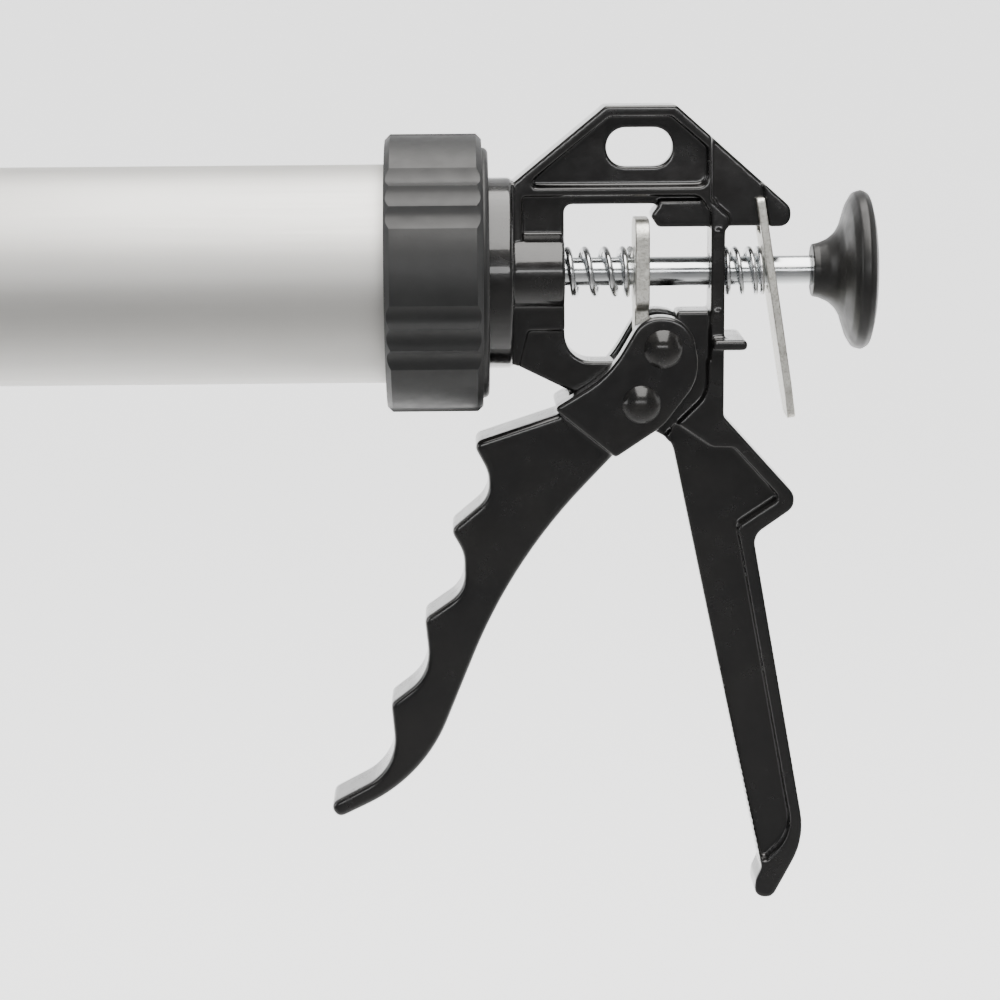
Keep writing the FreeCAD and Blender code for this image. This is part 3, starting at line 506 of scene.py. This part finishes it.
# ---------------------------------------------------------------- springs
# Two compression springs of bright plated wire on the rod, with closed end coils: one
# from the hub to the drive plate, a lighter one from the post to the release plate.


def zinc_wire():
    paint = Paint("spring_wire").set(Metallic=1.0)
    cloud = paint.noise(0.002, 3.0)
    colour = paint.ramp(cloud, [(0.3, (0.62, 0.63, 0.64)), (0.7, (0.80, 0.81, 0.82))])
    paint.join(colour, paint.shader.inputs["Base Color"])
    paint.join(paint.grey(paint.noise(0.0008), 0.14, 0.3), paint.shader.inputs["Roughness"])
    paint.bump((paint.noise(0.0005, 2.0), 0.000006))
    return paint.made


def coil(name, stations, outside, wire):
    """A wire wound round the rod; stations are its middle line behind the hub, in
    millimetres, one at each half turn, the first at the top."""
    mean = (outside - wire) / 2
    steps, sides = 24, 14
    count = (len(stations) - 1) * steps
    knots = [2 * stations[0] - stations[1]] + stations + [2 * stations[-1] - stations[-2]]
    path = []
    for i in range(count + 1):
        k = min(i // steps, len(stations) - 2)
        t = i / steps - k
        a, b, c, d = knots[k:k + 4]
        along = 0.5 * (2 * b + (c - a) * t + (2 * a - 5 * b + 4 * c - d) * t * t
                       + (3 * b - a - 3 * c + d) * t ** 3)
        turn = math.pi * i / steps
        path.append(Vector((along, -mean * math.sin(turn), mean * math.cos(turn))))
    mesh = bmesh.new()
    rings = []
    for i, spot in enumerate(path):
        ahead = (path[min(i + 1, count)] - path[max(i - 1, 0)]).normalized()
        out = Vector((0, spot.y, spot.z)).normalized()
        side = ahead.cross(out).normalized()
        out = side.cross(ahead)
        rings.append([
            mesh.verts.new(hub + (spot + (out * math.cos(a) + side * math.sin(a)) * wire / 2) * mm)
            for a in around(sides)
        ])
    for low, high in zip(rings, rings[1:]):
        for i in range(sides):
            j = (i + 1) % sides
            mesh.faces.new((low[i], low[j], high[j], high[i]))
    mesh.faces.new(rings[0])
    mesh.faces.new(rings[-1])
    bmesh.ops.recalc_face_normals(mesh, faces=mesh.faces)
    data = bpy.data.meshes.new(name)
    mesh.to_mesh(data)
    mesh.free()
    data.shade_smooth()
    data.set_sharp_from_angle(angle=math.radians(50))
    piece = bpy.data.objects.new(name, data)
    bpy.context.scene.collection.objects.link(piece)
    return piece


bright_wire = zinc_wire()
main_coil = coil(
    "main_coil", [0.92, 3.0, 5.7, 8.4, 11.1, 13.8, 15.9, 17.1, 17.95], outside=14.0, wire=1.7
)
place(main_coil, bright_wire, "spring_wire", "frame", "main_spring")
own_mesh(main_coil)
release_coil = coil(
    "release_coil", [43.9, 44.6, 46.4, 48.5, 50.2, 52.2, 52.75, 53.9], outside=13.4, wire=1.3
)
place(release_coil, bright_wire, "spring_wire", "frame", "release_spring")
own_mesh(release_coil)

# ---------------------------------------------------------------- push rod
# Cold drawn 8 mm steel rod, zinc plated: bright, with faint drawing lines along it. It
# runs from the piston through hub, plates and post to the knob.


def drawn_zinc():
    paint = Paint("plated_rod").set(Metallic=1.0)
    lines = paint.noise(0.0006, 4.0, 0.6, (0.03, 1, 1))
    cloud = paint.noise(0.009, 3.0)
    colour = paint.ramp(cloud, [(0.3, (0.66, 0.69, 0.71)), (0.7, (0.82, 0.84, 0.85))])
    paint.join(colour, paint.shader.inputs["Base Color"])
    paint.join(paint.grey(cloud, 0.12, 0.24), paint.shader.inputs["Roughness"])
    paint.bump((lines, 0.000012), (paint.noise(0.004, 3.0, 0.5, (0.25, 1, 1)), 0.00004))
    return paint.made


bright_zinc = drawn_zinc()
rod_front = (rod_low.x - hub.x) / mm
rod_radius, rod_chamfer = 4.0, 0.6
rod = turned("rod", [
    (rod_front, 0, 0), (rod_front, rod_radius - rod_chamfer, 0.2),
    (rod_front + rod_chamfer, rod_radius, 0.2), (rod_rear - rod_chamfer, rod_radius, 0.2),
    (rod_rear, rod_radius - rod_chamfer, 0.2), (rod_rear, 0, 0),
])
place(rod, bright_zinc, "plated_rod", "rod", "push_rod")

# ---------------------------------------------------------------- pull knob
# A moulded mushroom knob in satin black plastic, with a thin neck and a crowned face. It
# is pressed over a sleeve that is screwed on the rod.


def moulded(name, dark, light, smooth, rough, grain):
    """A moulding's surface: cloudy between two colours and two roughnesses, with a grain."""
    paint = Paint(name).set(IOR=1.48)
    cloud = paint.noise(0.012, 4.0, 0.6)
    paint.join(paint.ramp(cloud, [(0.3, dark), (0.7, light)]), paint.shader.inputs["Base Color"])
    sheen = paint.grey(paint.noise(0.004, 3.0), smooth, rough)
    paint.join(sheen, paint.shader.inputs["Roughness"])
    paint.bump((paint.noise(0.0004, 2.0), grain), (paint.noise(0.006, 2.0), 0.00006))
    return paint.made


knob_black = moulded(
    "knob_plastic", (0.009, 0.009, 0.009), (0.016, 0.0155, 0.015), 0.3, 0.44, 0.00001
)
knob_mouth, knob_bore_end, knob_bore = 67.25, 79.2, 4.1
knob_profile = [
    (knob_mouth, knob_bore, 0), (knob_mouth, 7.1, 0.5), (69.0, 7.45, 2.0), (71.5, 8.5, 6.0),
    (73.6, 10.3, 6.0), (75.1, 12.9, 6.0), (76.1, 16.0, 6.0), (76.95, 18.6, 4.0),
    (78.4, 21.0, 1.6), (80.6, 21.65, 1.3), (82.3, 20.7, 1.2), (83.3, 17.0, 6.0),
    (84.1, 10.0, 12.0), (84.5, 0, 0), (knob_bore_end, 0, 0), (knob_bore_end, knob_bore, 0),
]
knob = turned("mushroom_knob", knob_profile)
place(knob, knob_black, "knob_plastic", "rod", "knob")

# ---------------------------------------------------------------- barrel tube
# Drawn aluminium tube, satin anodised: fine drawing lines along it under a matte skin. It
# turns with the rear ring, and the piston runs in it.


def anodised():
    paint = Paint("anodised_tube").set(Metallic=0.9)
    lines = paint.noise(0.0009, 5.0, 0.65, (0.02, 1, 1))
    cloud = paint.noise(0.05, 3.0, 0.5)
    colour = paint.ramp(cloud, [(0.3, (0.66, 0.655, 0.635)), (0.7, (0.70, 0.695, 0.675))])
    paint.join(colour, paint.shader.inputs["Base Color"])
    paint.join(paint.grey(lines, 0.46, 0.54), paint.shader.inputs["Roughness"])
    paint.bump((lines, 0.000006), (paint.noise(0.0003, 2.0), 0.000004))
    return paint.made


satin_alloy = anodised()
tube_low, tube_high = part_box("barrel_tube")
tube_front = (tube_low.x - hub.x) / mm
tube_rear = (tube_high.x - hub.x) / mm
tube_inside, tube_outside = 27.75, 29.5
tube = turned("tube", [
    (tube_front, tube_inside, 0.3), (tube_front, tube_outside, 0.4),
    (tube_rear, tube_outside, 0.4), (tube_rear, tube_inside, 0.3),
], angles=around(240))
place(tube, satin_alloy, "anodised_tube", "barrel", "barrel_tube")

# ---------------------------------------------------------------- lock rings
# Moulded rings in satin black nylon. Three scallops between four sharp crests for the
# fingers, six times round, with a plain lobe between, and a bevel at both ends.

crest, bevel_foot = 37.6, 36.1
scallop_radius, scallop_depth = 5.6, 1.0
sectors = 6
sector_turn = 360 / sectors
first_middle = 38.8
scallop_pitch = 9.7
last_crest = 1.5 * scallop_pitch

ring_angles = []
for sector in range(sectors):
    middle = first_middle + sector_turn * sector
    for k in range(-3, 3):
        first = middle + k * scallop_pitch / 2
        ring_angles += [math.radians(first + scallop_pitch / 2 * i / 5) for i in range(5)]
    lobe = middle + last_crest
    lobe_turn = sector_turn - 2 * last_crest
    ring_angles += [math.radians(lobe + lobe_turn * i / 12) for i in range(12)]


def ridge_radius(angle):
    """Radius of the ring's ridges at an angle above the near side."""
    half_sector = sector_turn / 2
    turn = (math.degrees(angle) - first_middle + half_sector) % sector_turn - half_sector
    if abs(turn) > last_crest + 0.001:
        return crest
    nearest = max(-1, min(1, round(turn / scallop_pitch)))
    delta = math.radians(turn - scallop_pitch * nearest)
    centre = crest + scallop_radius - scallop_depth
    return min(crest, centre * math.cos(delta) - math.sqrt(
        scallop_radius ** 2 - (centre * math.sin(delta)) ** 2
    ))


def lock_ring(name, lip_end, open_end, away):
    """A ring whose lip is turned away from the barrel, along +X (1) or -X (-1)."""
    lip_bore, lip_outside, ring_bore = 26.1, 33.8, 29.55
    ridge_end = lip_end - away * 1.7
    lip_inside = lip_end - away * 2.9
    bevel = crest - bevel_foot

    def ridged(point, angle):
        """Takes a crest corner to the ridge's height there, on the 45 degree bevel."""
        along, radius = point
        if radius < (bevel_foot + crest) / 2:
            return along, radius
        ridge = ridge_radius(angle)
        rear = along * away > (ridge_end + open_end) / 2 * away
        end = ridge_end if rear else open_end
        inward = -away if rear else away
        return end + inward * (ridge - bevel_foot), ridge

    corners = [
        (lip_end, lip_bore, 0.6), (lip_end, lip_outside, 1.5), (ridge_end, lip_outside, 0.3),
        (ridge_end, bevel_foot, 0), (ridge_end - away * bevel, crest, 0),
        (open_end + away * bevel, crest, 0), (open_end, bevel_foot, 0),
        (open_end, ring_bore, 0.5), (lip_inside, ring_bore, 0), (lip_inside, lip_bore, 0.3),
    ]
    ring = turned(name, corners, angles=ring_angles, shape=ridged)
    edge = ring.modifiers.new("edge", "BEVEL")
    edge.width = 0.14 * mm
    edge.segments = 2
    edge.limit_method = "ANGLE"
    edge.angle_limit = math.radians(24)
    edge.harden_normals = True
    apply_all(ring)
    return ring


satin_nylon = moulded(
    "black_nylon", (0.015, 0.0155, 0.016), (0.021, 0.0215, 0.022), 0.38, 0.48, 0.000012
)
rings_and_bodies = (("rear_lock_ring", "barrel", 1), ("front_lock_ring", "front_ring", -1))
for name, body, away in rings_and_bodies:
    low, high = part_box(name)
    ends = sorted(((low.x - hub.x) / mm, (high.x - hub.x) / mm), reverse=away > 0)
    ring = lock_ring(f"{name}_moulding", ends[0], ends[1], away)
    place(ring, satin_nylon, "black_nylon", body, name)

# ---------------------------------------------------------------- nozzle
# A cone nozzle moulded in cloudy, natural polyethylene. Its flange is clamped under the
# front ring, and its shoulder stands out through the ring's mouth.


def cloudy_plastic():
    paint = Paint("clear_polyethylene").set(
        IOR=1.5, Subsurface_Weight=0.25, Subsurface_Scale=0.002, Transmission_Weight=0.25
    )
    cloud = paint.noise(0.01, 4.0, 0.6)
    colour = paint.ramp(cloud, [(0.3, (0.78, 0.79, 0.77)), (0.7, (0.88, 0.89, 0.87))])
    paint.join(colour, paint.shader.inputs["Base Color"])
    paint.join(paint.grey(cloud, 0.3, 0.42), paint.shader.inputs["Roughness"])
    paint.bump((paint.noise(0.0006, 2.0), 0.000008), (paint.noise(0.01, 2.0), 0.0001))
    return paint.made


cloudy_white = cloudy_plastic()
nozzle_low, nozzle_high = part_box("nozzle")
nozzle_rear = (nozzle_high.x - hub.x) / mm
flange_front = nozzle_rear - 3.0
shoulder_front = flange_front - 2.9
base_end = flange_front - 14.0
spout_start = base_end - 6.0
tip = (nozzle_low.x - hub.x) / mm
flange_edge, shoulder, tip_outside, tip_bore = 28.9, 25.5, 4.6, 2.5
cone = turned("cone_nozzle", [
    (nozzle_rear, 22.7, 0.5), (nozzle_rear, flange_edge, 0.3), (flange_front, flange_edge, 0.4),
    (flange_front, shoulder, 0.5), (shoulder_front, shoulder, 1.5), (base_end, 11.0, 4.0),
    (spout_start, 9.0, 6.0), (tip, tip_outside, 0.5), (tip, tip_bore, 0.4),
    (tip + 12.0, tip_bore, 0.5), (spout_start, 7.2, 6.0), (base_end + 2.0, 9.0, 4.0),
])
place(cone, cloudy_white, "clear_polyethylene", "nozzle", "nozzle")

# ---------------------------------------------------------------- piston and what holds it
# A moulded piston with a rubber ring in its groove, clamped on the rod between two nuts,
# one sunk in its front and one behind a washer. The small hidden parts that need no softer
# shape keep the frame's own meshes: the nuts, washers, knob sleeve and nozzle seal.

piston_low, piston_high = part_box("piston_disc")
piston_front = (piston_low.x - hub.x) / mm
piston_rear = (piston_high.x - hub.x) / mm
groove_front, groove_rear = piston_front + 4.0, piston_front + 7.2
well_end = piston_front + 7.0
skirt, groove_floor, nut_well, piston_bore = 27.45, 24.45, 8.7, 4.02
piston = turned("piston", [
    (piston_front, nut_well, 0.5), (piston_front, skirt, 1.0), (groove_front, skirt, 0.2),
    (groove_front, groove_floor, 0.3), (groove_rear, groove_floor, 0.3),
    (groove_rear, skirt, 0.2), (piston_rear, skirt, 1.0), (piston_rear, piston_bore, 0),
    (well_end, piston_bore, 0), (well_end, nut_well, 0.5),
])
piston_grey = moulded(
    "piston_plastic", (0.05, 0.05, 0.052), (0.07, 0.07, 0.072), 0.4, 0.52, 0.00001
)
place(piston, piston_grey, "piston_plastic", "rod", "piston_disc")

rubber = moulded(
    "seal_rubber", (0.010, 0.010, 0.010), (0.018, 0.018, 0.018), 0.55, 0.7, 0.00001
)
seal_gap, seal_outside = 0.02, 27.6
seal_front, seal_rear = groove_front + seal_gap, groove_rear - seal_gap
piston_seal = turned("piston_ring", [
    (seal_front, groove_floor, 0.4), (seal_front, seal_outside, 0.9),
    (seal_rear, seal_outside, 0.9), (seal_rear, groove_floor, 0.4),
])
place(piston_seal, rubber, "seal_rubber", "rod", "piston_seal")
natural_nylon = moulded(
    "natural_nylon", (0.62, 0.60, 0.53), (0.70, 0.68, 0.61), 0.45, 0.6, 0.00001
)
carried = {
    "nozzle_seal": rubber, "swivel_washer": natural_nylon, "knob_insert": bright_zinc,
    "backing_washer": bright_zinc, "rod_nuts": bright_zinc,
}
for name, material in carried.items():
    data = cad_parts[name].data
    data.materials.clear()
    data.materials.append(material)
